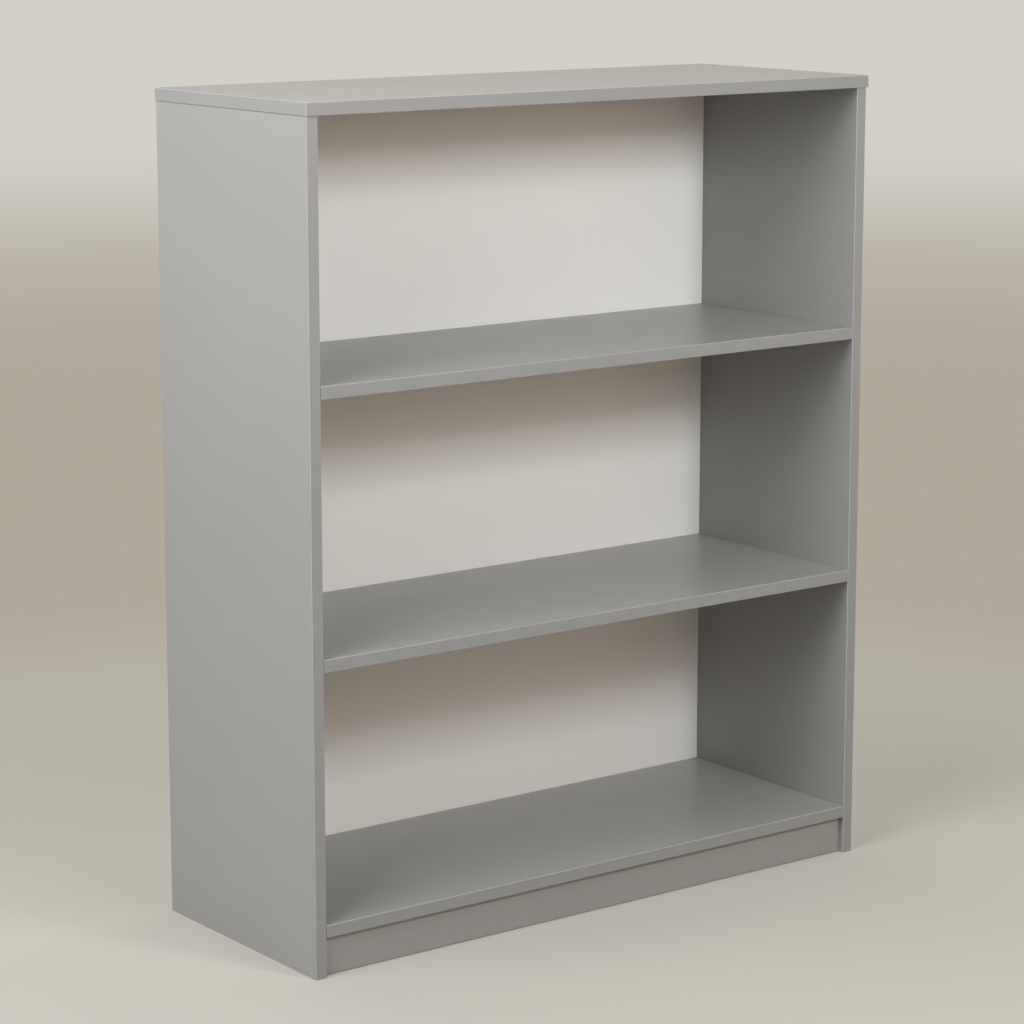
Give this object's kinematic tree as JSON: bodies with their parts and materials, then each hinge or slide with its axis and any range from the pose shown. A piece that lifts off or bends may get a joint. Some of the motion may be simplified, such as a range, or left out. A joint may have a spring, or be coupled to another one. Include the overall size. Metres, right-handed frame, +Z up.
{
  "type": "open bookcase",
  "caption": "Open office bookcase in grey melamine board with a white back, fixed shelves, an oversailing top and a recessed plinth.",
  "frame": {"origin": "on the floor, under the middle of the overall box", "axes": "+Z up, +X to the right seen from the front, the open front faces -Y"},
  "size_m": [1, 0.385, 1.2],
  "materials": {
    "grey_melamine": null,
    "grey_edging": "2 mm plastic edging in the same grey, satin, arrises rounded",
    "white_hardboard": null,
    "beech": "unfinished fluted beech, inside the joints and not seen",
    "steel": "bright drawn steel wire, on the rear and not seen"
  },
  "bodies": {
    "root": {"left_side": "grey_melamine", "right_side": "grey_melamine", "top": "grey_melamine", "upper_shelf": "grey_melamine", "lower_shelf": "grey_melamine", "bottom_shelf": "grey_melamine", "plinth": "grey_melamine", "back_panel": "white_hardboard", "left_side_edging": "grey_edging", "right_side_edging": "grey_edging", "top_edging_front": "grey_edging", "top_edging_left": "grey_edging", "top_edging_right": "grey_edging", "upper_shelf_edging": "grey_edging", "lower_shelf_edging": "grey_edging", "bottom_shelf_edging": "grey_edging", "top_dowel_left_1": "beech", "top_dowel_left_2": "beech", "top_dowel_left_3": "beech", "top_dowel_right_1": "beech", "top_dowel_right_2": "beech", "top_dowel_right_3": "beech", "upper_shelf_dowel_left_1": "beech", "upper_shelf_dowel_left_2": "beech", "upper_shelf_dowel_left_3": "beech", "upper_shelf_dowel_right_1": "beech", "upper_shelf_dowel_right_2": "beech", "upper_shelf_dowel_right_3": "beech", "lower_shelf_dowel_left_1": "beech", "lower_shelf_dowel_left_2": "beech", "lower_shelf_dowel_left_3": "beech", "lower_shelf_dowel_right_1": "beech", "lower_shelf_dowel_right_2": "beech", "lower_shelf_dowel_right_3": "beech", "bottom_shelf_dowel_left_1": "beech", "bottom_shelf_dowel_left_2": "beech", "bottom_shelf_dowel_left_3": "beech", "bottom_shelf_dowel_right_1": "beech", "bottom_shelf_dowel_right_2": "beech", "bottom_shelf_dowel_right_3": "beech", "plinth_dowel_left_1": "beech", "plinth_dowel_left_2": "beech", "plinth_dowel_right_1": "beech", "plinth_dowel_right_2": "beech", "plinth_dowel_top_1": "beech", "plinth_dowel_top_2": "beech", "plinth_dowel_top_3": "beech", "back_pin_upper_shelf_1": "steel", "back_pin_upper_shelf_2": "steel", "back_pin_upper_shelf_3": "steel", "back_pin_upper_shelf_4": "steel", "back_pin_lower_shelf_1": "steel", "back_pin_lower_shelf_2": "steel", "back_pin_lower_shelf_3": "steel", "back_pin_lower_shelf_4": "steel", "back_pin_bottom_shelf_1": "steel", "back_pin_bottom_shelf_2": "steel", "back_pin_bottom_shelf_3": "steel", "back_pin_bottom_shelf_4": "steel"}
  },
  "joints": []
}
